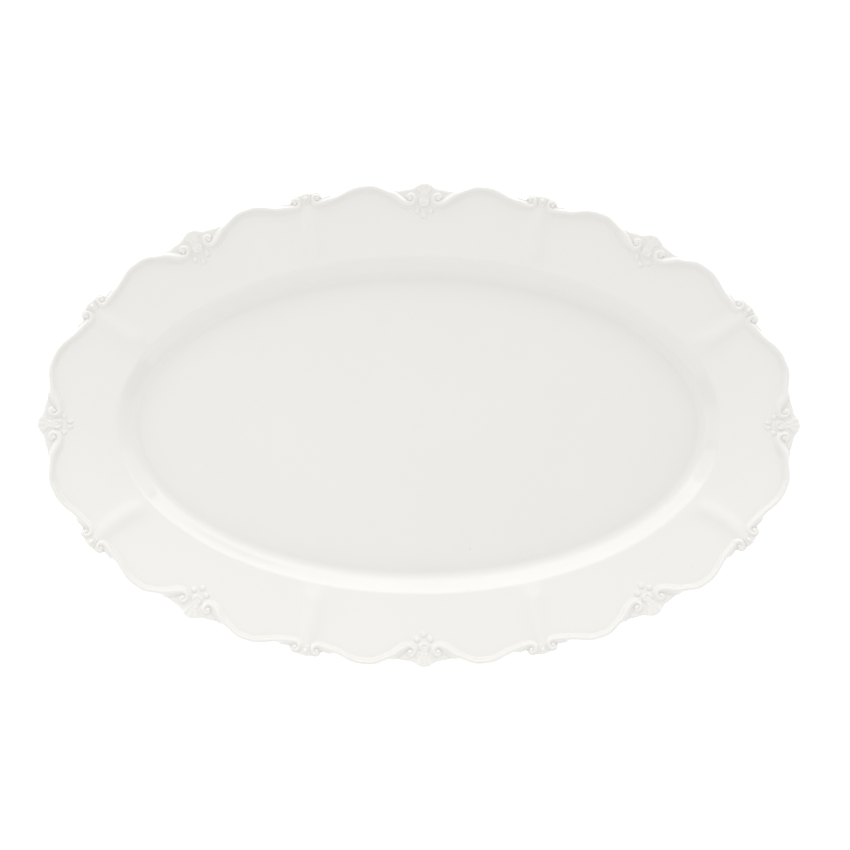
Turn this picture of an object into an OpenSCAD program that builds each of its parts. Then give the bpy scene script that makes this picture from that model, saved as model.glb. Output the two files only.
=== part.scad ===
// Oval china serving platter: a flat well on a foot ring, a steep wall, a broad rim
// in eight panels, and a lip of sixteen raised scrolls that curl round a crest at
// every station. All sizes are in millimetres, +Z is up and +X runs along the oval.

/* [Platter] */
// Overall length, from crest to crest
platter_l = 406; // [360:1:450]
// Overall width, from crest to crest
platter_w = 257; // [228:1:285]
// Height of the rim's face at the lip
lip_z = 26.2; // [22:0.2:32]

/* [Well and foot] */
// Length of the flat floor
floor_l = 300; // [280:1:306]
// Width of the flat floor
floor_w = 157; // [140:1:161]
// Length of the oval where wall and rim meet
edge_l = 326; // [300:1:345]
// Width of the oval where wall and rim meet
edge_w = 180.8; // [160:0.2:195]
// Height of the foot ring
foot_h = 3; // [2:0.5:5]
// Width of the foot ring's tread
foot_w = 5; // [3:0.5:8]
// Thickness of the floor
floor_t = 4.5; // [3:0.5:6]
// Radius of the hollow curve at the foot of the wall
wall_r = 9; // [6:0.5:12]
// Angle of the wall's straight flank
wall_a = 42; // [34:1:48]

/* [Rim] */
// Thickness of the rim beside the wall
rim_t_in = 4.2; // [3:0.1:5.5]
// Thickness of the rim at the lip
rim_t_out = 3.2; // [2.4:0.1:4]
// Height of the soft ridge along each join between two panels
ridge_h = 0.8; // [0:0.1:1]
// Depth of the notches between the lip's lobes
notch_d = 4; // [3:0.1:5]

/* [Lip scrolls and crests] */
// Width of a scroll along its lobe
scroll_w = 3; // [2.4:0.1:3.4]
// Height of a scroll above the rim's face
scroll_h = 1.6; // [1:0.1:1.8]
// Radius of a pearl
pearl_r = 1.4; // [1:0.1:1.6]

/* [Hidden] */
STATIONS = 16;
PANELS = STATIONS / 2;
WALL_STEPS = 80;
A = platter_l / 2;
B = platter_w / 2;
floor_z = foot_h + floor_t;
// how far each lobe's two notches, and the ends of its flat peak, lie from the axis of its large crest
notch_x = 16;
peak_x = 31;
far_peak_x = 34;
far_notch_x = 54;
// half-width and depth of the shoulders below each large crest
fan_x = 7;
fan_d = 2.3;
// share of the rim's width that belongs to the wall, so that the wall keeps its thickness
wall_share = 0.11;
rim_w = 39;
// the wall: a hollow curve, a straight flank, and a small roll that eases into the rim's slope
wall_w = 12.66;
roll_r = 2;
roll_a = 14;
roll_w = roll_r * (sin(wall_a) - sin(roll_a));
flank_h = (wall_w - roll_w - wall_r * sin(wall_a)) * tan(wall_a);
edge_z = floor_z + wall_r * (1 - cos(wall_a)) + flank_h + roll_r * (cos(roll_a) - cos(wall_a));
// the eyes that a scroll curls round, as distance from its crest's axis and from the tips' oval
large_eye = [7.7, 8];
small_eye = [6, 3.8];

function mix(a, b, t) = a + (b - a) * t;
// smooth step from 0 to 1 that starts and ends level
function rise(t) = t - sin(360 * t) / (2 * PI);
// half a wave, from 0 to 1
function wave(t) = (1 - cos(180 * t)) / 2;

// support distance and point of an oval, for the direction f that its outside faces
function reach(a, b, f) = norm([a * cos(f), b * sin(f)]);
function oval_point(a, b, f) = [a * a * cos(f), b * b * sin(f)] / reach(a, b, f);
function oval(l, w) = [for (i = [0:WALL_STEPS - 1]) oval_point(l / 2, w / 2, 360 * i / WALL_STEPS)];

// distance round the tips' oval against the direction that it faces there
function bend(f) = pow(A * B, 2) / pow(reach(A, B, f), 3);
ARC = [
    for (f = 0, s = 0; f <= 360; s = s + (bend(f) + bend(f + 1)) / 2 * PI / 180, f = f + 1) [s, f]
];
ROUND = ARC[360][0];
STEP = ROUND / STATIONS;
function even_facing(s) = lookup((s + ROUND) % ROUND, ARC);
// the stations between the four middle crests are drawn a little towards the long sides' middles
station_shift = 4.3;
function facing(s) = even_facing(s + station_shift * sin(2 * even_facing(STEP * rise(s / STEP))));

// height of the rim's face: f is the direction, v the distance in from the tips' oval
function rim_width(f) = reach(A, B, f) - reach(edge_l / 2, edge_w / 2, f);
function slope_z(u) = mix(edge_z, lip_z, 0.86 * u + 0.14 * u * u);
function ridge(s, u) =
    let (off = abs((s + ROUND) % (2 * STEP) - STEP), half = mix(9, 5, u))
    ridge_h * exp(-pow(off / half, 2));
function rim_z(s, v) =
    let (u = 1 - v / rim_width(facing(s)))
    slope_z(u) + ridge(s, u);
// a point on the rim's face, raised by h
function on_rim(s, v, h = 0) =
    let (f = facing(s), p = oval_point(A, B, f))
    [p.x - v * cos(f), p.y - v * sin(f), rim_z(s, v) + h];

// how far the outline lies inside the tips' oval, at x from a large crest's axis
function outline(x) =
    x < fan_x ? fan_d * pow(x / fan_x, 2)
    : x < notch_x ? mix(fan_d, notch_d, (x - fan_x) / (notch_x - fan_x))
    : x < peak_x ? notch_d * wave((peak_x - x) / (peak_x - notch_x))
    : x < far_peak_x ? 0
    : x < far_notch_x ? notch_d * wave((x - far_peak_x) / (far_notch_x - far_peak_x))
    : notch_d * pow(wave((STEP - x) / (STEP - far_notch_x)), 1.3);
PANEL_HALF = concat(
    [0, 1.8, 3.4, 5.2, fan_x, 10, 13],
    [for (x = [notch_x:3.75:peak_x]) x],
    [for (x = [far_peak_x:4:far_notch_x]) x],
    [for (i = [1:4]) mix(far_notch_x, STEP, i / 4)]
);
PANEL_X = concat([for (i = [len(PANEL_HALF) - 1:-1:1]) -PANEL_HALF[i]], PANEL_HALF);

// skin over rows of points: each row is one closed section, with flat ends unless the rows close
module skin(rows, closed = false) {
    n = len(rows);
    m = len(rows[0]);
    spans = closed ? n : n - 1;
    sides = [
        for (i = [0:spans - 1], j = [0:m - 1])
            let (a = i * m, b = (i + 1) % n * m, k = (j + 1) % m)
            each [[a + j, b + j, b + k], [a + j, b + k, a + k]]
    ];
    ends = closed ? [] : [
        for (j = [1:m - 2]) each [[0, j, j + 1], [(n - 1) * m, (n - 1) * m + j + 1, (n - 1) * m + j]]
    ];
    polyhedron([for (row = rows) each row], concat(sides, ends));
}

// ---- well and foot ----

module foot_ring() {
    color("white")
    linear_extrude(foot_h)
    difference() {
        polygon(oval(floor_l, floor_w));
        polygon(oval(floor_l - 2 * foot_w, floor_w - 2 * foot_w));
    }
}

module well_floor() {
    color("white")
    translate([0, 0, foot_h])
    linear_extrude(floor_t)
    polygon(oval(floor_l, floor_w));
}

// a point between floor and tips: q runs 0 to 1 across the wall, then 1 to 2 across the rim
function across(f, q, z) =
    let (
        lower = oval_point(floor_l / 2, floor_w / 2, f),
        edge = oval_point(edge_l / 2, edge_w / 2, f),
        p = q < 1 ? mix(lower, edge, q) : mix(edge, oval_point(A, B, f), q - 1)
    )
    [p.x, p.y, z];
// the same, by distance out from the floor
function out_by(f, d, z) = across(f, d < wall_w ? d / wall_w : 1 + (d - wall_w) / rim_w, z);

// the wall in section, as [distance out from the floor, height]: both faces start as arcs round one centre
function wall_arc(r, a) = [r * sin(a), floor_z + wall_r - r * cos(a)];
WALL_TOP = concat(
    [for (i = [0:4]) wall_arc(wall_r, wall_a * i / 4)],
    [
        for (a = [wall_a, (wall_a + roll_a) / 2, roll_a])
            [wall_w - roll_r * (sin(a) - sin(roll_a)), edge_z - roll_r * (cos(roll_a) - cos(a))]
    ]
);
WALL_UNDER = [for (i = [4:-1:0]) wall_arc(wall_r + floor_t, wall_a * i / 4)];
join_z = slope_z(wall_share);
join_t = mix(rim_t_in, rim_t_out, wall_share);

module well_wall() {
    color("white")
    skin([
        for (i = [0:WALL_STEPS - 1])
            let (f = 360 * i / WALL_STEPS)
            concat(
                [for (p = WALL_TOP) out_by(f, p[0], p[1])],
                [across(f, 1 + wall_share, join_z), across(f, 1 + wall_share, join_z - join_t)],
                [for (p = WALL_UNDER) out_by(f, p[0], p[1])]
            )
    ], closed = true);
}

// ---- rim ----

// a rim section, from the lip in along the face and back out along the underside
function rim_section(s, x) =
    let (
        f = facing(s),
        v_out = outline(x),
        v_in = rim_width(f) * (1 - wall_share),
        inner = across(f, 1 + wall_share, 0)
    )
    concat(
        [on_rim(s, v_out)],
        [for (t = [0.3, 0.65]) on_rim(s, mix(v_out, v_in, t))],
        [
            [inner.x, inner.y, join_z],
            [inner.x, inner.y, join_z - join_t],
            on_rim(s, mix(v_out, v_in, 0.5), -(rim_t_in + rim_t_out) / 2),
            on_rim(s, v_out + 1.6, -rim_t_out),
            on_rim(s, v_out, 1.2 - rim_t_out)
        ]
    );

// a panel runs from ridge to ridge, with a large crest at its middle
module rim_panel(k) {
    color("ivory")
    skin([for (x = PANEL_X) rim_section(2 * k * STEP + x, abs(x))]);
}

// ---- lip ----

// a turn round an eye: from angle a to b in n steps, with the radius shrinking from r1 to r2
// angle 0 points inward, 90 to the crest's axis, and side is 1 or -1
function curl(eye, side, a, b, r1, r2, n) = [
    for (i = [0:n])
        let (t = i / n, g = mix(a, b, t), r = mix(r1, r2, t))
        [eye.x - side * r * sin(g), eye.y + r * cos(g)]
];
LARGE_CURL = curl(large_eye, 1, 250, -30, 1.1, 3.3, 11);
SMALL_CURL = curl([STEP - small_eye.x, small_eye.y], -1, -30, 240, 3.2, 1, 11);
// along the lobe the scroll's middle line follows the outline
LOBE = [for (x = [19:4:51]) [x, outline(x) + scroll_w / 2]];
SCROLL = concat(LARGE_CURL, LOBE, SMALL_CURL);
function heading(i) =
    let (
        a = SCROLL[max(i - 1, 0)],
        b = SCROLL[min(i + 1, len(SCROLL) - 1)]
    )
    (b - a) / norm(b - a);
// share of full width and height: the scroll thins round each curl
function swell(i) = mix(0.6, 1, rise(min(1, min(i, len(SCROLL) - 1 - i) / 11)));

// scroll j lies on the lobe between stations j and j + 1: even ones start at a large crest
module lip_scroll(j) {
    side = j % 2 == 0 ? 1 : -1;
    start = side > 0 ? j * STEP : (j + 1) * STEP;
    section = [[-1, 0], [1, 0], [0.8, 0.6], [0.35, 1], [-0.35, 1], [-0.8, 0.6]];
    color("white")
    skin([
        for (i = [0:len(SCROLL) - 1])
            let (p = SCROLL[i], h = heading(i), w = swell(i))
            [
                for (c = side > 0 ? section : [for (n = [5:-1:0]) section[n]])
                    let (q = p + c[0] * w * scroll_w / 2 * [-h.y, h.x])
                    on_rim(start + side * q.x, q.y, c[1] * w * scroll_h)
            ]
    ]);
}

// puts children at station n: +Y outward, origin on the tips' oval, Z square to the rim's face
module at_station(n) {
    s = n * STEP;
    f = facing(s);
    base = on_rim(s, 0);
    inner = on_rim(s, 8);
    tilt = atan2(base.z - inner.z, 8);
    translate(base)
    rotate([0, 0, f - 90])
    rotate([tilt, 0, 0])
    children();
}

// a half-sunk ball with its flat side on the rim's face
module dome(x, v, r) {
    translate([x, -v, 0])
    intersection() {
        translate([0, 0, -r / 6])
        sphere(r, $fn = 32);
        translate([-r, -r, 0])
        cube([2 * r, 2 * r, 2 * r]);
    }
}

// fan of three flutes on a shield, below an arch that holds a ball
module fan_crest(k) {
    fan = [
        for (i = [0:12])
            let (g = mix(-60, 60, i / 12), r = 6.3 + 0.5 * abs(cos(4.5 * g)))
            [r * sin(g) * 0.72, -7.3 + r * cos(g)]
    ];
    shield = [[2.2, -7], [2.2, -10.2], [-2.2, -10.2], [-2.2, -7]];
    color("white")
    at_station(2 * k)
    union() {
        linear_extrude(1.1)
        polygon(concat(fan, shield));
        translate([0, -10.4, 0])
        rotate_extrude($fn = 48)
        polygon([[0.9, 0], [2.4, 0], [2.2, 0.9], [1.7, 1.3], [1.1, 0.9]]);
        dome(0, 10.4, 0.9);
    }
}

// pearls below the arch: three in a row round it, or four on the two end crests
module pearls(k) {
    spray = k % 4 == 0
        ? [[-1.7, 16.7], [1.7, 16.7], [-5.2, 13.6], [5.2, 13.6]]
        : [[0, 17.3], [-3.9, 14.7], [3.9, 14.7]];
    color("white")
    at_station(2 * k)
    for (p = spray) dome(p.x, p.y, pearl_r);
}

// one pearl in a low shell between two small curls
module shell_crest(k) {
    shell = [
        for (i = [0:10])
            let (g = mix(-90, 90, i / 10))
            [2.6 * sin(g), -3.4 + 2.6 * cos(g)]
    ];
    color("white")
    at_station(2 * k + 1)
    union() {
        linear_extrude(0.7)
        polygon(concat(shell, [[0, -6.2]]));
        dome(0, 2.8, pearl_r);
    }
}

foot_ring();
well_floor();
well_wall();
for (k = [1:PANELS]) {
    rim_panel(k - 1);
    fan_crest(k - 1);
    pearls(k - 1);
    shell_crest(k - 1);
}
for (j = [1:STATIONS]) {
    lip_scroll(j - 1);
}
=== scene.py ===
import math

import bpy
import numpy as np
from mathutils import Matrix, Vector


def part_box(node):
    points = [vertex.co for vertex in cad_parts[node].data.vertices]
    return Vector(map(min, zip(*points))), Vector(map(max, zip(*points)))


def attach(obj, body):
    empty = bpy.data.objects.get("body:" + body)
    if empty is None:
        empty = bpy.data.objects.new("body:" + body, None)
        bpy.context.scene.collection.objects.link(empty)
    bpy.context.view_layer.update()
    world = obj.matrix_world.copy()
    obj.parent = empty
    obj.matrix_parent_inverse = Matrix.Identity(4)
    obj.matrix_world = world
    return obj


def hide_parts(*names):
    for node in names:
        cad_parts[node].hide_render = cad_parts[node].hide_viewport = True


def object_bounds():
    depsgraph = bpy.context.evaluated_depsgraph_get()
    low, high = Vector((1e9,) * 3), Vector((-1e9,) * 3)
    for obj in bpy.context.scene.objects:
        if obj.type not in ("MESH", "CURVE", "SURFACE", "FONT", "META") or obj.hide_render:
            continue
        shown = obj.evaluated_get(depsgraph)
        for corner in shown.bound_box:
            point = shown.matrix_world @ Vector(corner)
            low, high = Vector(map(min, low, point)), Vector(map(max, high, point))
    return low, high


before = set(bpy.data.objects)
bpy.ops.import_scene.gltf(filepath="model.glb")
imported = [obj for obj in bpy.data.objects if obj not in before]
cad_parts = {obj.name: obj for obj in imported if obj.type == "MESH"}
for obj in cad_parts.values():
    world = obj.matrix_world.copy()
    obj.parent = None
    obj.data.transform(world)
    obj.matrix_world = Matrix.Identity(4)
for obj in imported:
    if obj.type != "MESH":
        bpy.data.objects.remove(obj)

CAD_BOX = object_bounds()

# ---- sizes of the platter, in millimetres ----

MM = 0.001
FLOOR_LOW, FLOOR_HIGH = (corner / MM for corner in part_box("well_floor"))
FOOT_TOP = (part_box("foot_ring")[1] / MM).z
TIPS = (CAD_BOX[1].x / MM, CAD_BOX[1].y / MM)
FLOOR = (FLOOR_HIGH.x, FLOOR_HIGH.y)
FLOOR_Z = FLOOR_HIGH.z
UNDER_Z = FLOOR_LOW.z
FLOOR_T = FLOOR_Z - UNDER_Z
# half-length and half-width of the oval where wall and rim meet
EDGE = (163.0, 90.4)
# the wall's width, the hollow curve at its foot, the lean of its straight flank, and the roll that
# eases it into the rim
WALL_W = 12.66
WALL_R = 9.0
WALL_A = math.radians(42)
ROLL_R = 2.0
ROLL_A = math.radians(14)
FLANK_W = WALL_W - WALL_R * math.sin(WALL_A) - ROLL_R * (math.sin(WALL_A) - math.sin(ROLL_A))
WALL_H = (WALL_R * (1 - math.cos(WALL_A)) + FLANK_W * math.tan(WALL_A)
          + ROLL_R * (math.cos(ROLL_A) - math.cos(WALL_A)))
EDGE_Z = FLOOR_Z + WALL_H
LIP_Z = 26.2
RIM_W = 39.0
RIM_T_IN = 4.2
RIM_T_OUT = 3.2
# share of the rim's rise that comes from its steepening towards the lip
RIM_CURVE = 0.14
# where the rim panels take over from the wall, as share of the rim and as distance out from the floor
JOIN_SHARE = 0.11
JOIN_D = WALL_W + JOIN_SHARE * RIM_W
PANELS = 8
# how far the stations between the quarter points lie towards the long sides' middles
STATION_SHIFT = 4.3
# the ridges: height and half-width at the lip, what each gains towards the wall, the share of the rim
# over which the height is gained, and the share where they end and fade
RIDGE_H = 0.8
RIDGE_HALF = 3.2
RIDGE_TALLER = 0.9
RIDGE_WIDER = 4.6
RIDGE_GAIN = 0.5
RIDGE_END = 1.05
RIDGE_FADE = 0.3
# the lip's outline, by distance from a large crest's axis: its depths, its shoulders, the two notches
# and the lobe's flat peak between them, and how pointed its crests and its web are
NOTCH_D = 4.3
PEAK_X = (30.5, 35.0)
SHOULDER_X = 8.0
SHOULDER_D = 3.0
NOTCH_X = 15.7
FAR_NOTCH_X = 54.0
CREST_POWER = 1.3
WEB_POWER = 1.5
# the scrolls' bead, the rounding of the lip, and the eyes of the curls: across and in from the tips
SCROLL_W = 3.6
SCROLL_H = 1.4
NOSE_R = 1.5
LIP_DROP = 1.1
LARGE_EYE = (7.7, 8.0)
SMALL_EYE = (6.0, 3.8)
# radius and height of the balls in the eyes, and of the pearls
LARGE_BALL = (1.5, 1.15)
SMALL_BALL = (1.25, 1.0)
PEARL = (1.65, 0.78)
FOOT_W = 5.0
# how far trim is let into the face below it, how far its hidden edge goes down from there and how much it
# narrows, and how fast the pooled glaze and painted shade round its foot thin with height
SINK = 0.04
SKIRT_DEEP = 0.5
SKIRT_SHARE = 0.9
POOL_AND_SHADE_H = 0.25
# spacing of the points of a section or outline, and how far a section runs on at both ends
FINE = 0.05
RUN_ON = 8


# ---- the ovals, and distance round the tips' oval ----

def oval_reach(oval, f):
    """Support distance of an oval in the direction f that its outside faces."""
    return np.hypot(oval[0] * np.cos(f), oval[1] * np.sin(f))


def oval_point(oval, f):
    """The oval's point that faces f: its half-axes squared times the direction, over the support distance."""
    reach = oval_reach(oval, f)
    return np.stack([oval[0] ** 2 * np.cos(f) / reach, oval[1] ** 2 * np.sin(f) / reach], -1)


def oval_bend(f):
    """Radius of curvature of the tips' oval: the squared product of its half-axes over the support
    distance cubed."""
    return (TIPS[0] * TIPS[1]) ** 2 / oval_reach(TIPS, f) ** 3


ARC_F = np.linspace(0, 2 * math.pi, 7201)
ARC_S = np.concatenate([[0], np.cumsum((oval_bend(ARC_F[1:]) + oval_bend(ARC_F[:-1])) / 2 * np.diff(ARC_F))])
ROUND = ARC_S[-1]
STEP = ROUND / (2 * PANELS)


def even_facing(s):
    """Direction that the tips' oval faces at distance s round it, unwrapped so that it never jumps."""
    turns = np.floor(s / ROUND)
    return np.interp(s - turns * ROUND, ARC_S, ARC_F) + turns * 2 * math.pi


def facing(s):
    """The same for stations drawn a little towards the long sides' middles: the distance is shifted by the
    sine of twice the direction, taken at a stair of stations so that the crests themselves keep their
    size."""
    stair = STEP * (s / STEP - np.sin(math.tau * s / STEP) / math.tau)
    return even_facing(s + STATION_SHIFT * np.sin(2 * even_facing(stair)))


def soft_step(t):
    """Smooth step from 0 to 1: three t squared less two t cubed."""
    t = np.clip(t, 0, 1)
    return t * t * (3 - 2 * t)


def bell(distance, half):
    """Bell from 1 at no distance, by the exponential of minus the square of distance over half-width."""
    return np.exp(-((distance / half) ** 2))


def blur(values, spacing, sigma):
    """Running average of evenly spaced values under a bell of width sigma, with the ends carried on
    straight."""
    reach = int(4 * sigma / spacing) + 1
    weights = np.exp(-0.5 * (np.arange(-reach, reach + 1) * spacing / sigma) ** 2)
    steps = np.arange(1, reach + 1)
    if values.ndim == 2:
        return np.stack([blur(values[:, k], spacing, sigma) for k in range(values.shape[1])], -1)
    before = values[0] - (values[1] - values[0]) * steps[::-1]
    after = values[-1] + (values[-1] - values[-2]) * steps
    return np.convolve(np.concatenate([before, values, after]), weights / weights.sum(), "valid")


# ---- the platter in section ----

def rim_height(u):
    """Height of the rim's face at share u of its width: a straight rise, steepened a little by a square."""
    return EDGE_Z + (LIP_Z - EDGE_Z) * ((1 - RIM_CURVE) * u + RIM_CURVE * u * u)


SECTION_D = np.arange(-RUN_ON, WALL_W + RIM_W + RUN_ON, FINE)
WALL_ARC = np.linspace(0, WALL_A, 60)
# share of the rim's width to which its sections are drawn, past the lip
PAST_LIP = 1.2


def upper_profile():
    """Height of the upper face by distance out from the floor: level, then an arc, a straight flank and a
    small roll up the wall, and a rim that steepens a little towards the lip. The whole is then blurred by
    half a millimetre."""
    roll = np.linspace(WALL_A, ROLL_A, 30)
    u = np.linspace(0, PAST_LIP, 60)
    out = np.concatenate([
        SECTION_D[:1], WALL_R * np.sin(WALL_ARC),
        (WALL_W - ROLL_R * (np.sin(roll) - math.sin(ROLL_A)))[:-1], WALL_W + RIM_W * u])
    up = np.concatenate([
        [FLOOR_Z], FLOOR_Z + WALL_R * (1 - np.cos(WALL_ARC)),
        (EDGE_Z - ROLL_R * (math.cos(ROLL_A) - np.cos(roll)))[:-1],
        rim_height(u)])
    return SECTION_D, blur(np.interp(SECTION_D, out, up), FINE, 0.5)


def lower_profile():
    """Height of the underside by distance out from the floor: level, then an arc round the wall's own
    centre, then the rim's face less its thickness. The whole is blurred by one millimetre."""
    u = np.linspace(JOIN_SHARE, PAST_LIP, 60)
    out = np.concatenate([SECTION_D[:1], (WALL_R + FLOOR_T) * np.sin(WALL_ARC), WALL_W + RIM_W * u])
    up = np.concatenate([
        [UNDER_Z], FLOOR_Z + WALL_R - (WALL_R + FLOOR_T) * np.cos(WALL_ARC),
        rim_height(u) - RIM_T_IN + (RIM_T_IN - RIM_T_OUT) * u])
    return SECTION_D, blur(np.interp(SECTION_D, out, up), FINE, 1.0)


UPPER = upper_profile()
LOWER = lower_profile()
# share of the rim's width, in from the tips, over which the plan stays square to the lip
SQUARE = 0.4


def across(f, d):
    """Plan point at distance d out from the floor, facing f: it slides from the floor's oval to the wall's
    edge, and from there to the tips' oval."""
    t = (d / WALL_W)[..., None]
    u = ((d - WALL_W) / RIM_W)[..., None]
    floor, edge, tips = (oval_point(oval, f) for oval in (FLOOR, EDGE, TIPS))
    return np.where(t < 1, floor + (edge - floor) * t, edge + (tips - edge) * u)


def rim_width(f):
    """Distance from the wall's edge to the tips' oval, square to the latter."""
    return oval_reach(TIPS, f) - oval_reach(EDGE, f)


def rim_plan(s, v):
    """Plan point on the rim, v in from the tips' oval at distance s round it: square to that oval near
    the lip, and drawn sideways towards the wall's edge over the inner part."""
    f = facing(s)
    tips = oval_point(TIPS, f)
    inward = -np.stack([np.cos(f), np.sin(f)], -1)
    width = rim_width(f)
    drift = oval_point(EDGE, f) - (tips + inward * width[..., None])
    share = v / width
    return tips + inward * v[..., None] + drift * soft_step((share - SQUARE) / (1 - SQUARE))[..., None]


def out_of_floor(s, v):
    """Distance out from the floor of a point on the rim."""
    return WALL_W + RIM_W * (1 - v / rim_width(facing(s)))


def in_from_tips(s, d):
    """Distance in from the tips' oval of a point that lies d out from the floor."""
    return rim_width(facing(s)) * (1 - (d - WALL_W) / RIM_W)


def ridge(s, v):
    """Height of the soft ridge that lies across the rim at each small crest: a bell across it, wider and
    taller towards the wall, that dies away over the wall's edge."""
    share = v / rim_width(facing(s))
    off = np.abs(s % (2 * STEP) - STEP)
    half = RIDGE_HALF + RIDGE_WIDER * share
    tall = RIDGE_H * (1 + RIDGE_TALLER * soft_step(share / RIDGE_GAIN))
    return tall * bell(off, half) * soft_step((RIDGE_END - share) / RIDGE_FADE)


def rim_face(s, v, h=0.0):
    """Point on the rim's face, raised by h."""
    z = np.interp(out_of_floor(s, v), *UPPER) + ridge(s, v) + h
    return np.concatenate([rim_plan(s, v), z[..., None]], -1)


def china_face(s, d, profile):
    """Point on the platter's upper or lower face, d out from the floor: plan by oval on the wall and square
    to the lip on the rim, height from the section plus the ridge."""
    v = in_from_tips(s, d)
    plan = np.where((d < WALL_W)[..., None], across(facing(s), d), rim_plan(s, v))
    z = np.interp(d, *profile) + ridge(s, v)
    return np.concatenate([plan, z[..., None]], -1)


def half_wave(t):
    """Half a wave that rises from 0 to 1."""
    return (1 - np.cos(math.pi * np.clip(t, 0, 1))) / 2


def outline(x):
    """How far the lip lies inside the tips' oval, at x from a large crest's axis: shoulders below the fan, a
    web out to the notch, then half waves up to a lobe's flat peak, down to its far notch, and up again to
    the small crest."""
    x = np.abs(x)
    web = np.clip((x - SHOULDER_X) / (NOTCH_X - SHOULDER_X), 0, 1) ** WEB_POWER
    return np.select(
        [x < SHOULDER_X, x < NOTCH_X, x < PEAK_X[0], x < PEAK_X[1], x < FAR_NOTCH_X],
        [SHOULDER_D * half_wave(x / SHOULDER_X) ** CREST_POWER,
         SHOULDER_D + (NOTCH_D - SHOULDER_D) * web,
         NOTCH_D * half_wave((PEAK_X[0] - x) / (PEAK_X[0] - NOTCH_X)),
         0 * x,
         NOTCH_D * half_wave((x - PEAK_X[1]) / (FAR_NOTCH_X - PEAK_X[1]))],
        NOTCH_D * half_wave((STEP - x) / (STEP - FAR_NOTCH_X)) ** CREST_POWER)


# the outline a little past both ends of a panel, folded back there, blurred to soften its corners
X_FINE = np.arange(-STEP - 2, STEP + 2, FINE)
OUTLINE = blur(outline(np.minimum(np.abs(X_FINE), 2 * STEP - np.abs(X_FINE))), FINE, 0.22)


def lip_edge(x):
    """The same outline with its corners softened, for x from -STEP to STEP."""
    return np.interp(x, X_FINE, OUTLINE)


# ---- making meshes ----

def grid_normals(points, along):
    """Unit normals of a grid of points: the cross product of its slopes along the rows' own coordinate and
    from column to column."""
    along = along if along.ndim == 1 else along[:, 0]
    normal = np.cross(np.gradient(points, along, axis=0), np.gradient(points, axis=1))
    return normal / np.maximum(np.linalg.norm(normal, axis=-1, keepdims=True), 1e-12)


def signed_volume(points, faces):
    """Volume inside flat faces: a sixth of each corner triangle's triple product, added up."""
    total = 0.0
    for corners in faces:
        a = points[corners[:, 0]]
        for k in range(1, corners.shape[1] - 1):
            total += np.einsum("ij,ij->", a, np.cross(points[corners[:, k]], points[corners[:, k + 1]])) / 6
    return total


def china_piece(name, shells, material, nodes):
    """One object from closed shells. Each shell is (points in mm, list of face arrays, normals or None,
    share of pooled glaze and painted shade or None)."""
    verts, faces, normals, pools_and_shade, base = [], [], [], [], 0
    for points, parts, normal, pool_and_shade in shells:
        turned = signed_volume(points, parts) < 0
        faces += [row for part in parts for row in ((part[:, ::-1] if turned else part) + base).tolist()]
        verts.append(points)
        normals.append(np.zeros_like(points) if normal is None else normal)
        pools_and_shade.append(np.zeros(len(points)) if pool_and_shade is None else pool_and_shade)
        base += len(points)
    mesh = bpy.data.meshes.new(name)
    mesh.from_pydata(np.concatenate(verts) * MM, [], faces)
    mesh.shade_smooth()
    # this attribute marks where the colour darkens round the foot of relief: pooled glaze and painted shade
    # together
    mesh.attributes.new("pool_and_shade", "FLOAT", "POINT").data.foreach_set("value", np.concatenate(pools_and_shade))
    mesh.materials.append(material)
    mesh.normals_split_custom_set_from_vertices(np.concatenate(normals))
    piece = bpy.data.objects.new(name, mesh)
    bpy.context.collection.objects.link(piece)
    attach(piece, "root")
    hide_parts(*nodes)


def sweep_shell(points, normals=None, ring=False, pool_and_shade=None):
    """A shell skinned over rows of points, each row one closed section. The rows close on themselves in a
    ring, or end in flat caps."""
    n, m = points.shape[:2]
    index = np.arange(n * m).reshape(n, m)
    ahead = np.roll(index, -1, axis=0) if ring else index[1:]
    here = index if ring else index[:-1]
    quads = np.stack([here, ahead, np.roll(ahead, -1, axis=1), np.roll(here, -1, axis=1)], -1).reshape(-1, 4)
    parts = [quads] if ring else [quads, index[:1], index[-1:, ::-1]]
    flat = points.reshape(-1, 3)
    return (flat, parts, None if normals is None else normals.reshape(-1, 3),
            None if pool_and_shade is None else pool_and_shade.reshape(-1))


def lens_shell(points, top, bottom, normals, pool_and_shade=None):
    """A shell over a grid whose rows go round and whose columns run from a top pole to a bottom pole."""
    n, m = points.shape[:2]
    index = np.arange(n * m).reshape(n, m)
    ahead = np.roll(index, -1, axis=0)
    quads = np.stack([index[:, :-1], ahead[:, :-1], ahead[:, 1:], index[:, 1:]], -1).reshape(-1, 4)
    upper = np.stack([np.full(n, n * m), ahead[:, 0], index[:, 0]], -1)
    lower = np.stack([np.full(n, n * m + 1), index[:, -1], ahead[:, -1]], -1)
    flat = np.concatenate([points.reshape(-1, 3), [top, bottom]])
    normal = np.concatenate([normals.reshape(-1, 3), [[0, 0, 1], [0, 0, -1]]])
    raised = None if pool_and_shade is None else np.concatenate([pool_and_shade.reshape(-1), [pool_and_shade[0, 0], 0]])
    return flat, [quads, upper, lower], normal, raised


def spread(start, stop, step):
    """Evenly spaced values from start to stop, about step apart, without the last one."""
    return np.linspace(start, stop, max(2, round(abs(stop - start) / step)), endpoint=False)


# ---- well and foot ----

# rows over half a panel, as start, end and spacing: close together at the fan, the notches and the small
# crest
ROWS = [
    (0, 6, 0.3), (6, 14.5, 0.9), (14.5, 17.5, 0.4), (17.5, 52.5, 2.0), (52.5, 55.5, 0.4), (55.5, STEP, 0.8)]
HALF_X = np.concatenate([spread(*row) for row in ROWS])
PANEL_X = np.concatenate([[-STEP], -HALF_X[:0:-1], HALF_X])
ROUND_S = np.concatenate([2 * k * STEP + PANEL_X for k in range(PANELS)])
DISH = 0.15
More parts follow.
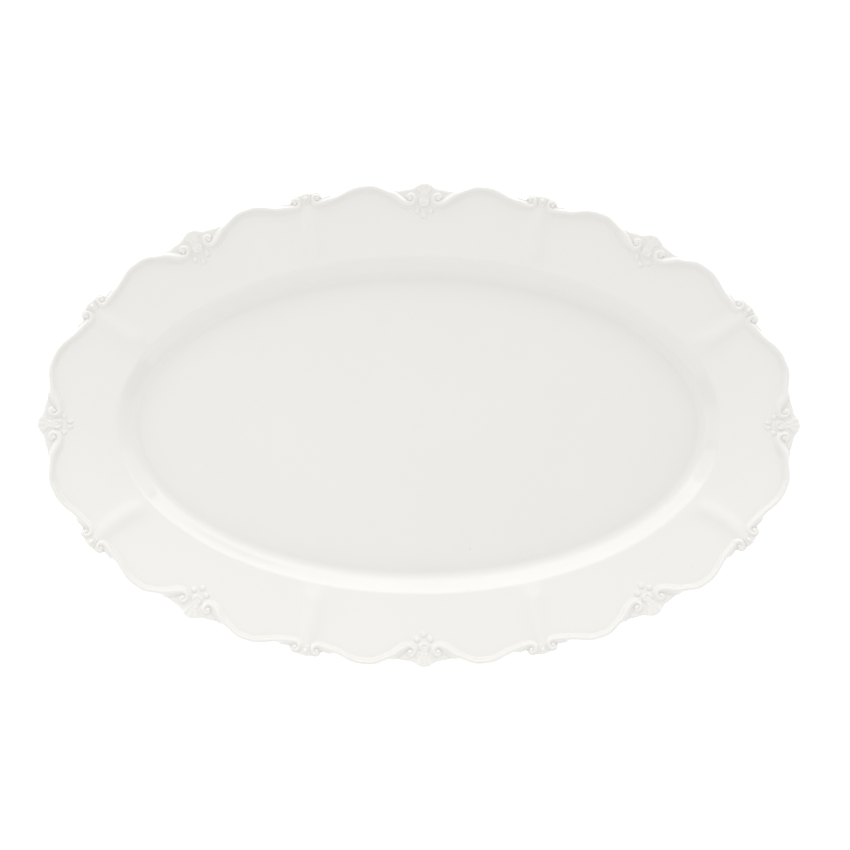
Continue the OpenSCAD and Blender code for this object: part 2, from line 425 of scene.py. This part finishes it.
# the foot ring: how far its tread's rounding starts in from its side, that rounding's radius, how far it
# flares out where it meets the body, the flare's radius, and how far it is let into the body
TREAD_IN, TREAD_R = 1.9, 1.3
FLARE, FLARE_R = 0.9, 1.5
FOOT_SINK = 0.8


def floor_face(f, t):
    """The floor's upper face at share t of the way out to its edge: the section's height, less a dish
    that is deepest at the middle."""
    plan = oval_point(FLOOR, f) * t[..., None]
    z = np.interp((t - 1) * oval_reach(FLOOR, f), *UPPER) - DISH * (1 - t * t) ** 2
    return np.concatenate([plan, z[..., None]], -1)


def china_floor(material):
    """The floor: oval rows of points from the middle of the upper face to its edge and back underneath."""
    f, t = np.meshgrid(facing(ROUND_S), 1 - np.linspace(0.97, 0, 30) ** 1.6, indexing="ij")
    upper = floor_face(f, t)
    step = 0.002
    slope = (floor_face(f, t)[..., 2] - floor_face(f, t - step)[..., 2]) / (step * oval_reach(FLOOR, f))
    upper_n = np.stack([-slope * np.cos(f), -slope * np.sin(f), np.ones_like(f)], -1)
    t_low = t[:, ::-3]
    plan = oval_point(FLOOR, f[:, :t_low.shape[1]]) * t_low[..., None]
    lower = np.concatenate([plan, np.full(t_low.shape + (1,), UNDER_Z)], -1)
    lower_n = np.zeros_like(lower) + [0, 0, -1]
    normals = np.concatenate([upper_n / np.linalg.norm(upper_n, axis=-1, keepdims=True), lower_n], 1)
    shell = lens_shell(np.concatenate([upper, lower], 1), (0, 0, FLOOR_Z - DISH), (0, 0, UNDER_Z), normals)
    china_piece("china_floor", [shell], material, ["well_floor"])


def china_wall(material):
    """The wall: round rows, each one section with the upper profile out to the rim panels and the lower
    profile back to the floor. One more point at both ends of each profile, and two more rows, give the
    normals there and are then dropped."""
    before, after = [-0.2], [JOIN_D + 0.3]
    top_d = np.concatenate([before, spread(0, WALL_W, 0.4), np.linspace(WALL_W, JOIN_D, 11), after])
    low_d = np.concatenate([after, np.linspace(JOIN_D, 0, 22), before])
    sides = []
    for d, profile, up in ((top_d, UPPER, 1), (low_d, LOWER, -1)):
        s, d = np.meshgrid(np.concatenate([ROUND_S, ROUND_S[:2] + ROUND]), d, indexing="ij")
        points = china_face(s, d, profile)
        normal = grid_normals(points, s)
        normal *= up * np.sign(normal[..., 2:])
        normal[0] = normal[-2]
        sides.append((points[:-2, 1:-1], normal[:-2, 1:-1]))
    points, normals = (np.concatenate(parts, 1) for parts in zip(*sides))
    shell = sweep_shell(points, normals, ring=True)
    china_piece("china_wall", [shell], material, ["well_wall"])


def china_foot(material):
    """The foot ring: a section with a narrow rounded tread and flared fillets, carried round the floor's
    oval. Each point is given as distance out from the ring's middle and height."""
    half = FOOT_W / 2
    turn = np.linspace(0, math.pi / 2, 8)
    tread = np.stack([half - TREAD_IN + TREAD_R * np.sin(turn), TREAD_R * (1 - np.cos(turn))], -1)
    flare = np.stack([
        half + FLARE - FLARE_R * np.cos(turn), FOOT_TOP - FLARE_R + FLARE_R * np.sin(turn)], -1)
    side = np.concatenate([tread, flare, [[half + FLARE, FOOT_TOP + FOOT_SINK]]])
    section = np.concatenate([side, side[::-1] * [-1, 1]])
    f = facing(ROUND_S[::2])[:, None]
    middle = (FLOOR[0] - half, FLOOR[1] - half)
    out = section[None, :, 0]
    plan = oval_point(middle, f) + out[..., None] * np.stack([np.cos(f), np.sin(f)], -1)
    z = np.broadcast_to(section[None, :, 1], plan.shape[:2])
    shell = sweep_shell(np.concatenate([plan, z[..., None]], -1), ring=True)
    china_piece("china_foot", [shell], material, ["foot_ring"])


# ---- rim ----

# how far a panel's section reaches back under the wall, as share of its own width, and the band of painted
# shade and pooled glaze along the inner foot of the scrolls, on the flat face: how far in from the lip, and
# its half-width
TUCK = 0.012
BEAD_FOOT_POOL_SHADE_IN, BEAD_FOOT_POOL_SHADE_HALF = 3.4, 1.2


def china_panel(k, material):
    """Rim panel k, from ridge to ridge: rows of one section that runs from the wall out along the face,
    round the lip on two quarter ellipses, and back along the underside. One more row and one more point at
    each end give the normals there and are then dropped."""
    x = np.concatenate([[-STEP - 0.5], PANEL_X, [STEP, STEP + 0.5]])
    s = (2 * k * STEP + x)[:, None]
    v_out = lip_edge(x)[:, None]
    v_in = in_from_tips(s, JOIN_D)
    share_face = np.concatenate([[-TUCK], 1 - np.linspace(1, 0, 34) ** 1.25])[None]
    share_under = np.concatenate([np.linspace(1, 0, 18)[1:], [-TUCK]])[None]
    turn = np.linspace(0, math.pi / 2, 9)[None]
    turn_out, turn_back = turn[:, 1:], turn[:, -2::-1]
    v_face = v_in + (v_out + NOSE_R - v_in) * share_face
    v_nose = v_out + NOSE_R * (1 - np.sin(turn_out))
    v_chin = v_out + NOSE_R * (1 - np.sin(turn_back))
    v_under = v_in + (v_out + NOSE_R - v_in) * share_under
    face = china_face(s, out_of_floor(s, v_face), UPPER)
    nose = rim_face(s, v_nose, -LIP_DROP * (1 - np.cos(turn_out)))
    chin = rim_face(s, v_chin, -RIM_T_OUT + (RIM_T_OUT - LIP_DROP) * (1 - np.cos(turn_back)))
    under = china_face(s, out_of_floor(s, v_under), LOWER)
    points = np.concatenate([face, nose, chin, under], 1)
    normal = grid_normals(points, x)
    normal *= np.sign(normal[:, :1, 2:])
    # painted shade with pooled glaze: a darker band just inside the scrolls' bead, where the face itself has
    # no groove
    bead_foot_pool_and_shade = bell(v_face - v_out - BEAD_FOOT_POOL_SHADE_IN, BEAD_FOOT_POOL_SHADE_HALF)
    pool_and_shade = np.concatenate([bead_foot_pool_and_shade, 0 * v_nose, 0 * v_chin, 0 * v_under], 1)
    inner = (slice(1, -1), slice(1, -1))
    shell = sweep_shell(points[inner], normal[inner], pool_and_shade=pool_and_shade[inner])
    china_piece(f"china_panel_{k + 1}", [shell], material, [f"rim_panel_{k + 1}"])


# ---- lip scrolls and crests ----

def spiral(eye, side, start, stop, r_start, r_stop):
    """Turn round an eye, in degrees from the inward direction, with a steadily changing radius."""
    t = np.linspace(0, 1, 80)
    g = np.radians(start + (stop - start) * t)
    r = r_start + (r_stop - r_start) * t
    return np.stack([eye[0] - side * r * np.sin(g), eye[1] + r * np.cos(g)], -1)


def bridge(before, after):
    """Hermite curve from the end of one line to the start of the next, leaving and arriving in line with
    each, with tangents as long as the gap."""
    p, q = before[-1], after[0]
    gap = np.linalg.norm(q - p)
    leave = (p - before[-2]) / np.linalg.norm(p - before[-2]) * gap
    arrive = (after[1] - q) / np.linalg.norm(after[1] - q) * gap
    t = np.linspace(0, 1, 42)[1:-1, None]
    return ((2 * t ** 3 - 3 * t ** 2 + 1) * p + (t ** 3 - 2 * t ** 2 + t) * leave
            + (3 * t ** 2 - 2 * t ** 3) * q + (t ** 3 - t ** 2) * arrive)


# the part of a scroll that follows the lip, the size of its thin ends and the length of their taper, and
# the swelling on the large curl: how much, how far along, and its half-length
LOBE_X = (19.5, 50)
THIN, TAPER = 0.62, 13
SWELL, SWELL_AT, SWELL_HALF = 0.2, 17, 6


def scroll_line():
    """Middle line of a scroll as (distance from the large crest's axis, distance in from the tips' oval):
    large curl, lobe, small curl, walked in even steps. Also the share of full size at each step."""
    large = spiral(LARGE_EYE, 1, start=262, stop=-20, r_start=1.0, r_stop=3.3)
    small = spiral((STEP - SMALL_EYE[0], SMALL_EYE[1]), -1, start=-20, stop=250, r_start=3.1, r_stop=0.9)
    x = np.linspace(*LOBE_X, 120)
    lobe = np.stack([x, lip_edge(x) + NOSE_R], -1)
    line = np.concatenate([large, bridge(large, lobe), lobe, bridge(lobe, small), small])
    walked = np.concatenate([[0], np.cumsum(np.linalg.norm(np.diff(line, axis=0), axis=1))])
    steps = np.linspace(0, walked[-1], 300)
    even = np.stack([np.interp(steps, walked, line[:, 0]), np.interp(steps, walked, line[:, 1])], -1)
    even = blur(even, steps[1], 0.25)
    size = THIN + (1 - THIN) * soft_step(np.minimum(steps, steps[-1] - steps) / TAPER)
    size += SWELL * bell(steps - SWELL_AT, SWELL_HALF)
    return even, size


SCROLL_LINE, SCROLL_SIZE = scroll_line()
# the bead's section: how far it is drawn past its half-width, and the half-width and power of its bell
BEAD_REACH, BEAD_HALF, BEAD_POWER = 1.45, 0.86, 2.6
# where along a lobe the bead turns over the lip, and the length over which it starts and stops doing so
OVER_LIP, OVER_FADE = (16.5, 53), 4


def scroll_body(start, side):
    """A scroll: a round bead along the middle line. Its section is a flat-topped bell that ends just under
    the rim's face; along the lobe its outer side drops instead on a quarter ellipse to the lip."""
    ahead = np.gradient(SCROLL_LINE, axis=0)
    ahead /= np.linalg.norm(ahead, axis=1, keepdims=True)
    across_line = np.stack([-ahead[:, 1], ahead[:, 0]], -1)
    c = np.linspace(-1, 1, 25)[None]
    size = SCROLL_SIZE[:, None]
    half = SCROLL_W / 2 * size
    d_bell = c * half * BEAD_REACH
    h_bell = SCROLL_H * size * np.exp(-(np.abs(d_bell) / (BEAD_HALF * half)) ** BEAD_POWER) - SINK
    turn = np.clip(-c, 0, 1) * math.pi / 2
    d_lip = -(NOSE_R + SINK) * np.sin(turn)
    h_lip = SCROLL_H - (SCROLL_H + LIP_DROP) * (1 - np.cos(turn)) - SINK
    x = SCROLL_LINE[:, :1]
    lip = soft_step((x - OVER_LIP[0]) / OVER_FADE) * soft_step((OVER_LIP[1] - x) / OVER_FADE) * (c < 0)
    d = d_bell + (d_lip - d_bell) * lip
    h = h_bell + (h_lip - h_bell) * lip
    low_c = np.linspace(0.95, -0.75, 9)[None]
    d = np.concatenate([d, low_c * np.where(low_c < 0, np.abs(d[:, :1]), d[:, -1:])], 1)
    h = np.concatenate([h, np.minimum(h[:, :1], h[:, -1:]) - 0.35 + 0 * low_c], 1)
    plan = SCROLL_LINE[:, None] + d[..., None] * across_line[:, None]
    points = rim_face(start + side * plan[..., 0], plan[..., 1], h)
    # painted shade with pooled glaze: darker towards the foot of the bead's inner side
    pool_and_shade = np.exp(-np.clip(h, 0, None) / 0.3) * (d > 0)
    return sweep_shell(points, pool_and_shade=pool_and_shade)


# a pearl's skirt of glaze, in pearl radii: how far out it runs, how wide it slopes, and its height
SKIRT_OUT, SKIRT_W, SKIRT_H = 1.4, 0.5, 0.2


def dome(s, v, r, h):
    """A pearl on the rim's face: a round cap of height h, with a skirt of glaze that runs out flat."""
    turn, out = np.meshgrid(
        np.linspace(0, 2 * math.pi, 40, endpoint=False), np.linspace(0.1, SKIRT_OUT, 16), indexing="ij")
    cap = np.sqrt(np.clip(1 - out * out, 0, None))
    skirt = SKIRT_H * np.clip((SKIRT_OUT - out) / SKIRT_W, 0, 1) ** 2
    lift = h * (cap ** 3 + skirt ** 3) ** (1 / 3) - SINK
    x, dv = r * out * np.cos(turn), r * out * np.sin(turn)
    top = rim_face(s + x, v + dv, lift)
    low = rim_face(s + SKIRT_SHARE * x[:, -1:], v + SKIRT_SHARE * dv[:, -1:], lift[:, -1:] - SKIRT_DEEP)
    points = np.concatenate([top, low], 1)
    # painted shade with pooled glaze: darker where the pearl meets the face, fading with height
    pool_and_shade = np.concatenate([np.exp(-lift / POOL_AND_SHADE_H), 0 * lift[:, -1:]], 1)
    poles = rim_face(np.array([s, s]), np.array([v, v]), np.array([h - SINK, -0.6]))
    return lens_shell(points, poles[0], poles[1], np.zeros_like(points), pool_and_shade)


def china_scroll(j, material):
    """Scroll j, between stations j and j + 1, with a small ball in the eye of each curl."""
    side = 1 if j % 2 == 0 else -1
    start = (j if side > 0 else j + 1) * STEP
    shells = [
        scroll_body(start, side),
        dome(start + side * LARGE_EYE[0], LARGE_EYE[1], *LARGE_BALL),
        dome(start + side * (STEP - SMALL_EYE[0]), SMALL_EYE[1], *SMALL_BALL)]
    china_piece(f"china_scroll_{j + 1}", shells, material, [f"lip_scroll_{j + 1}"])


def joined(*heights):
    """Smooth maximum of heights that are zero or more: the fifth root of the sum of their fifth powers."""
    return sum(np.clip(h, 0, None) ** 5 for h in heights) ** 0.2


# the crests: how far their relief slopes in from the sides and from the inner end, as shares of the patch,
# and how far in from the lip they are rounded over
SIDE_SLOPE, END_SLOPE = 0.14, 0.1
ROUND_OVER = 1.3


def crest_patch(s, half_width, v_end, height, edge):
    """A crest on the lip: a patch from the outline to v_end in, with a height of its own at each point,
    rounded over at the lip and sunk just under the face round the rest."""
    a, b = np.meshgrid(np.linspace(-1, 1, 61), np.linspace(0, 1, 64) ** 1.3, indexing="xy")
    x = a * half_width(b)
    v = edge(x) + (v_end - edge(x)) * b
    inside = v - edge(x)
    h = height(x, v)
    h = h * soft_step((1 - np.abs(a)) / SIDE_SLOPE) * soft_step((1 - b) / END_SLOPE) - SINK
    round_over = 1 - np.sqrt(1 - np.clip(1 - inside / ROUND_OVER, 0, 1) ** 2)
    h = h - (h + LIP_DROP) * round_over
    top = rim_face(s + x, v + 0 * x, h)
    low = rim_face(s + SKIRT_SHARE * x[:, ::-12], v[:, ::-12] + 0.1, np.minimum(h[:, ::-12], 0) - SKIRT_DEEP)
    # painted shade with pooled glaze: darker in the low parts of the crest's relief, fading with height
    pool_and_shade = np.concatenate([np.exp(-np.clip(h, 0, None) / POOL_AND_SHADE_H) * (inside > 1), 0 * low[..., 0]], 1)
    return sweep_shell(np.concatenate([top, low], 1), pool_and_shade=pool_and_shade)


# the fan crest, by distance in from the tips' oval: its tongue's end, height and half-width with what that
# gains towards the lip; the point its swellings spread from, their height and the angle from one to the
# next; the two seeds' place beside the axis and in, their half-sizes and height
TONGUE_END, TONGUE_H, TONGUE_HALF, TONGUE_WIDER = 11.5, 0.52, 2.5, 2.1
FAN_FROM, SWELLING_H, SWELLING_TURN = 8.5, 0.17, 24
SEED_X, SEED_V, SEED_HALF, SEED_H = 1.1, 6.4, (0.7, 1.1), 0.85
# the ball below it: place, half-width and height; the hood that arches over it: distance from the ball,
# half-width and height; and the height and reach of the hollow between them
BALL_AT, BALL_HALF, BALL_H = 10, 0.95, 0.9
HOOD_FROM_BALL, HOOD_HALF, HOOD_H = 2.1, 0.85, 1.1
HOLLOW_H, HOLLOW_REACH = 0.58, 2.6


def fan_height(x, v):
    """Height of the fan crest: a flat tongue that widens towards the lip, three low swellings along its
    edge, a hood that arches over a ball, and two seeds."""
    half = TONGUE_HALF + TONGUE_WIDER * soft_step((6.2 - v) / 3)
    turn = np.degrees(np.arctan2(x, FAN_FROM - v))
    swelling = SWELLING_H * np.cos(math.tau * turn / SWELLING_TURN) * soft_step((4.6 - v) / 2)
    tongue = (TONGUE_H + swelling) * soft_step((half - np.abs(x)) / 0.8) * soft_step((TONGUE_END - v) / 1)
    from_ball = np.hypot(x, v - BALL_AT)
    hood = HOOD_H * bell(from_ball - HOOD_FROM_BALL, HOOD_HALF) * soft_step((v - 7.6) / 2.4)
    ball = BALL_H * bell(from_ball, BALL_HALF)
    seeds = SEED_H * np.exp(-(((np.abs(x) - SEED_X) / SEED_HALF[0]) ** 2 + ((v - SEED_V) / SEED_HALF[1]) ** 2))
    hollow = HOLLOW_H * soft_step((HOLLOW_REACH - from_ball) / 0.8)
    return joined(tongue, hood, ball, seeds, hollow)


# the shell crest: the point its flutes spread from, their height and depth, how many a whole turn would
# hold, and where they end; its pearl's place, radius and height
FLUTES_FROM, FLUTES_H, FLUTE_DEEP, FLUTES, FLUTES_END = 7, 0.42, 0.16, 11, 6.4
SHELL_PEARL_AT, SHELL_PEARL_R, SHELL_PEARL_H = 2.8, 1.35, 1.25


def shell_height(x, v):
    """Height of the small shell: flutes that fan out from one point, under one pearl."""
    turn = np.arctan2(x, FLUTES_FROM - v)
    flutes = (FLUTES_H + FLUTE_DEEP * np.cos(turn * FLUTES)) * soft_step((FLUTES_END - v) / 1.5)
    from_pearl = np.hypot(x, v - SHELL_PEARL_AT) / SHELL_PEARL_R
    pearl = SHELL_PEARL_H * np.sqrt(np.clip(1 - from_pearl ** 2, 0, None))
    return joined(flutes, pearl)


def fan_half_width(b):
    """Half the fan crest's width at share b of the way in: 5 mm at the fan, and 1.8 mm less at the arch."""
    return 5.0 - 1.8 * soft_step((b - 0.3) / 0.25)


def shell_half_width(b):
    """Half the shell's width at share b of the way in: 3.3 mm at the lip, drawn in to a blunt point."""
    return 3.3 - 2.2 * b ** 1.5


# how far in the fans and the shells reach, and the pearls' places beside the axis and in from the tips:
# three pearls under most fans, four under the two at the platter's ends
FAN_END, SHELL_END = 13.2, 6.6
SPRAY = [(0, 17.1), (-3.8, 14.5), (3.8, 14.5)]
END_SPRAY = [(-1.7, 16.7), (1.7, 16.7), (-5.2, 13.6), (5.2, 13.6)]


def china_crests(k, material):
    """The three pieces of ornament that belong to panel k: its fan crest, its pearls and the shell crest
    at its far end."""
    s = 2 * k * STEP
    fan = crest_patch(s, fan_half_width, FAN_END, fan_height, lip_edge)
    shell = crest_patch(
        s + STEP, shell_half_width, SHELL_END, shell_height, lambda x: lip_edge(STEP - np.abs(x)))
    spray = END_SPRAY if k % 4 == 0 else SPRAY
    pearls = [dome(s + x, v, *PEARL) for x, v in spray]
    n = k + 1
    china_piece(f"china_fan_{n}", [fan], material, [f"fan_crest_{n}"])
    china_piece(f"china_pearls_{n}", pearls, material, [f"pearls_{n}"])
    china_piece(f"china_shell_{n}", [shell], material, [f"shell_crest_{n}"])


# ---- finishes ----

class Wire:
    """A value in a material. Arithmetic on it adds the Math node that does it."""

    def __init__(self, recipe, socket):
        self.recipe, self.socket = recipe, socket

    def _math(self, operation, *values):
        return self.recipe.node("ShaderNodeMath", {"operation": operation}, dict(enumerate(values)))

    def __add__(self, other):
        return self._math("ADD", self, other)

    def __rsub__(self, other):
        return self._math("SUBTRACT", other, self)

    def __mul__(self, other):
        return self._math("MULTIPLY", self, other)

    __radd__, __rmul__ = __add__, __mul__


class Recipe:
    """A material, or the room's light, that is being mixed."""

    def __init__(self, holder):
        self.holder = holder
        holder.use_nodes = True
        self.tree = holder.node_tree
        self.tree.nodes.clear()

    def node(self, kind, settings, sockets, out=0):
        """Adds a node with its settings, fills its sockets with values or wires, and gives one output."""
        node = self.tree.nodes.new(kind)
        for key, value in settings.items():
            setattr(node, key, value)
        for key, value in sockets.items():
            if isinstance(value, Wire):
                self.tree.links.new(value.socket, node.inputs[key])
            else:
                node.inputs[key].default_value = value
        return Wire(self, node.outputs[out])

    def place(self):
        """The object's own coordinates, in metres."""
        return self.node("ShaderNodeTexCoord", {}, {}, 3)

    def noise(self, place, scale, detail=3.0, rough=0.5):
        """Cloudy noise from 0 to 1 with features of about 1 / scale metres."""
        return self.node("ShaderNodeTexNoise", {},
                         {"Vector": place, "Scale": scale, "Detail": detail, "Roughness": rough})

    def ramp(self, value, low, high):
        """0 below low, 1 above high, and a smooth step between."""
        return self.node("ShaderNodeMapRange", {"interpolation_type": "SMOOTHSTEP"},
                         {"Value": value, "From Min": low, "From Max": high})

    def blend(self, share, a, b):
        """Colour a, changing to b as the share goes from 0 to 1."""
        return self.node("ShaderNodeMix", {"data_type": "RGBA"}, {0: share, 6: a, 7: b}, 2)

    def bump(self, height, strength, distance):
        """Normal of a surface with that height, whose full swing is the distance in metres."""
        return self.node("ShaderNodeBump", {}, {"Height": height, "Strength": strength, "Distance": distance})

    def surface(self, sockets):
        """Ends the recipe with one Principled surface."""
        return self.finish("ShaderNodeOutputMaterial", self.node("ShaderNodeBsdfPrincipled", {}, sockets))

    def finish(self, kind, shader):
        """Links the shader to an output of that kind and gives back what was mixed."""
        output = self.tree.nodes.new(kind)
        self.tree.links.new(shader.socket, output.inputs["Surface"])
        return self.holder


def shade(red, green, blue):
    """A colour with full cover."""
    return (red, green, blue, 1.0)


WHITE_CHINA = shade(0.766, 0.7565, 0.727)
CLOUDED_CHINA = shade(0.761, 0.7515, 0.721)
# darker warm colour for pooled glaze and painted shade in the hollows of relief
POOLED_AND_SHADED_CHINA = shade(0.705, 0.69, 0.632)
SPECK = shade(0.42, 0.37, 0.29)
BARE_CLAY = shade(0.70, 0.655, 0.57)
RUBBED_CLAY = shade(0.56, 0.52, 0.45)
# how strongly pooled glaze with painted shade, and specks, colour the body
POOL_AND_SHADE_TINT = 0.25
SPECK_TINT = 0.4


def glazed_china(name, ripple):
    """Glazed white china: faint clouds in the body, warmer and darker where glaze pools and shade is painted
    in the hollows at the foot of relief, a few pinhead specks, and a glaze whose surface ripples very
    slightly."""
    recipe = Recipe(bpy.data.materials.new(name))
    place = recipe.place()
    clouds = recipe.noise(place, scale=22, detail=4.0)
    body = recipe.blend(recipe.ramp(clouds, 0.35, 0.7), WHITE_CHINA, CLOUDED_CHINA)
    # the darkening mask round the foot of relief, pooled glaze and painted shade together; it also roughens
    # the glaze a little
    pooled_and_shaded = recipe.node("ShaderNodeAttribute", {"attribute_name": "pool_and_shade"}, {}, 2)
    body = recipe.blend(pooled_and_shaded * POOL_AND_SHADE_TINT, body, POOLED_AND_SHADED_CHINA)
    dots = recipe.node("ShaderNodeTexVoronoi", {}, {"Vector": place, "Scale": 62.0, "Randomness": 1.0})
    few = recipe.ramp(recipe.noise(place, scale=9.0, detail=1.0), 0.56, 0.6)
    speck = (1 - recipe.ramp(dots, 0.012, 0.03)) * few
    body = recipe.blend(speck * SPECK_TINT, body, SPECK)
    orange_peel = recipe.noise(place, scale=900, detail=2.0)
    waves = recipe.noise(place, scale=95, detail=2.0, rough=0.4) + 0.12 * orange_peel
    smudge = recipe.noise(place, scale=40, detail=3.0, rough=0.6)
    return recipe.surface({
        "Base Color": body,
        "Roughness": 0.075 + 0.06 * recipe.ramp(smudge, 0.4, 0.75) + 0.05 * pooled_and_shaded,
        "IOR": 1.5,
        "Coat Weight": 0.35,
        "Coat Roughness": 0.03,
        "Normal": recipe.bump(waves, 0.35, ripple)})


def bare_foot():
    """The foot: glaze on its sides, wiped away from the tread, where the clay is bare, grainy and rubbed."""
    recipe = Recipe(bpy.data.materials.new("wiped foot"))
    place = recipe.place()
    height = recipe.node("ShaderNodeSeparateXYZ", {}, {0: place}, 2)
    edge = recipe.noise(place, scale=160, detail=3.0)
    bare = 1 - recipe.ramp(height + 0.0006 * edge, 0.0007, 0.00115)
    grain = recipe.noise(place, scale=1500, detail=5.0, rough=0.7)
    rubbed = recipe.ramp(recipe.noise(place, scale=55, detail=4.0, rough=0.65), 0.52, 0.72)
    clay = recipe.blend(rubbed * 0.6 + 0.25 * grain, BARE_CLAY, RUBBED_CLAY)
    return recipe.surface({
        "Base Color": recipe.blend(bare, WHITE_CHINA, clay),
        "Roughness": 0.09 + 0.72 * bare,
        "Normal": recipe.bump(grain * bare, 0.5, 0.00012)})


def table_top():
    """The pale surface that the platter stands on: white, matt, with a faint even glow like a lit table."""
    recipe = Recipe(bpy.data.materials.new("lit white table"))
    grain = recipe.noise(recipe.place(), scale=30, detail=3.0)
    return recipe.surface({
        "Base Color": recipe.blend(grain, shade(0.9, 0.9, 0.9), shade(0.93, 0.93, 0.93)),
        "Roughness": 0.9,
        "Specular IOR Level": 0.0,
        "Emission Color": shade(1, 1, 1),
        "Emission Strength": TABLE_GLOW})


# ---- table, light and camera ----

TABLE_GLOW = 0.55
TABLE_HALF = 3.0
# the camera looks almost straight down: its distance, and its lean to the left and towards the viewer
EYE_DISTANCE = 1.2
EYE_LEFT = math.radians(5.0)
EYE_NEAR = math.radians(1.3)
# width of the view at the platter, in platter lengths
VIEW_WIDTH = 1.1204
AIM_RIGHT = 0.0013
SENSOR = 36.0
ROOM_LIGHT = 0.897
# unit vector to the room's darker spot, how far the spot reaches, and how much light it lacks
DARK_SPOT = (0.177, 0.063, 0.982)
DARK_REACH = math.radians(17)
DARK_LACK = 0.33
# the walls of the tent hang this far from the platter: name, side in degrees round from +X, lower and upper
# angle from straight up, width and brightness
HANG = 1.6
WALLS = [
    ("back high", 90, (34, 52), 3.2, 0.3),
    ("back middle", 90, (52, 70), 3.2, 0.95),
    ("back low", 90, (70, 88), 3.2, 1.2),
    ("back corner left", 145, (60, 86), 1.0, 0.6),
    ("back corner right", 35, (60, 86), 1.0, 0.6),
    ("front low", 270, (60, 86), 4.0, 0.55),
    ("left low", 180, (60, 86), 1.4, 0.32),
    ("right low", 0, (52, 84), 1.4, 0.3)]
# the small fills: name, place, size and brightness
FILLS = [
    ("far left fill", (-0.6, 0.55, 0.7), (0.7, 0.5), 0.16),
    ("close left fill", (-0.52, 0, 0.5), (0.4, 0.4), 0.24),
    ("close corner fill", (-0.42, -0.35, 0.5), (0.4, 0.4), 0.27),
    ("close front fill", (0, -0.45, 0.5), (0.4, 0.4), 0.22)]


def lay_table():
    """A wide plain sheet under the foot, as a grid."""
    n = 21
    lines = np.linspace(-TABLE_HALF, TABLE_HALF, n)
    x, y = np.meshgrid(lines, lines, indexing="ij")
    points = np.stack([x, y, np.full_like(x, CAD_BOX[0].z)], -1).reshape(-1, 3)
    index = np.arange(n * n).reshape(n, n)
    quads = np.stack([index[:-1, :-1], index[1:, :-1], index[1:, 1:], index[:-1, 1:]], -1).reshape(-1, 4)
    mesh = bpy.data.meshes.new("table")
    mesh.from_pydata(points, [], quads.tolist())
    mesh.materials.append(table_top())
    table = bpy.data.objects.new("table", mesh)
    bpy.context.collection.objects.link(table)


def softbox(name, place, size, brightness):
    """A rectangular diffused light at a place, facing the platter, as bright as the given radiance."""
    light = bpy.data.lights.new(name, "AREA")
    light.shape = "RECTANGLE"
    light.size, light.size_y = size
    light.energy = brightness * math.pi * size[0] * size[1]
    lamp = bpy.data.objects.new(name, light)
    lamp.location = place
    lamp.rotation_euler = (Vector((0, 0, 0)) - Vector(place)).to_track_quat("-Z", "Z").to_euler()
    bpy.context.collection.objects.link(lamp)


def set_camera():
    """The camera above the platter, with the long side level in the view."""
    aim = Vector((AIM_RIGHT, 0, (CAD_BOX[0].z + CAD_BOX[1].z) / 2))
    lens = bpy.data.cameras.new("camera")
    lens.sensor_width = SENSOR
    lens.lens = SENSOR * EYE_DISTANCE / (VIEW_WIDTH * (CAD_BOX[1].x - CAD_BOX[0].x))
    camera = bpy.data.objects.new("camera", lens)
    lean = Vector((-math.sin(EYE_LEFT), -math.sin(EYE_NEAR), math.cos(EYE_LEFT)))
    camera.location = aim + EYE_DISTANCE * lean
    ahead = (aim - camera.location).normalized()
    right = ahead.cross(Vector((0, 1, 0))).normalized()
    camera.rotation_euler = Matrix((right, right.cross(ahead), -ahead)).transposed().to_euler()
    bpy.context.collection.objects.link(camera)
    bpy.context.scene.camera = camera


def hung_softbox(name, side, zenith, width, brightness):
    """A softbox that faces the platter from a side, in degrees round from +X, between two angles from
    straight up."""
    turn, lean = math.radians(side), math.radians(sum(zenith) / 2)
    place = Vector((math.sin(lean) * math.cos(turn), math.sin(lean) * math.sin(turn), math.cos(lean))) * HANG
    softbox(name, place, (width, HANG * math.radians(zenith[1] - zenith[0])), brightness)


def lit_room():
    """An even pale room, with a darker spot overhead on the right."""
    recipe = Recipe(bpy.data.worlds.new("room"))
    way = recipe.node("ShaderNodeTexCoord", {}, {}, 0)
    towards = recipe.node("ShaderNodeVectorMath", {"operation": "DOT_PRODUCT"}, {0: way, 1: DARK_SPOT}, 1)
    spot = recipe.ramp(towards, math.cos(DARK_REACH), 1)
    room = recipe.node("ShaderNodeBackground", {},
                       {"Color": shade(1, 1, 1), "Strength": ROOM_LIGHT - DARK_LACK * spot})
    bpy.context.scene.world = recipe.finish("ShaderNodeOutputWorld", room)


def set_light():
    """A white tent: a bright wall behind in three bands that wraps the back corners, lower walls in front
    and at the sides, one far and three close fills on the left and in front, and an even pale room."""
    for wall in WALLS:
        hung_softbox(*wall)
    for fill in FILLS:
        softbox(*fill)
    lit_room()


set_camera()
plain_glaze = glazed_china("white glaze", 0.00003)
relief_glaze = glazed_china("glaze on relief", 0.00002)
china_foot(bare_foot())
china_floor(plain_glaze)
china_wall(plain_glaze)
for k in range(PANELS):
    china_panel(k, plain_glaze)
    china_crests(k, relief_glaze)
for j in range(2 * PANELS):
    china_scroll(j, relief_glaze)
lay_table()
set_light()
bpy.context.scene.view_settings.view_transform = "Standard"
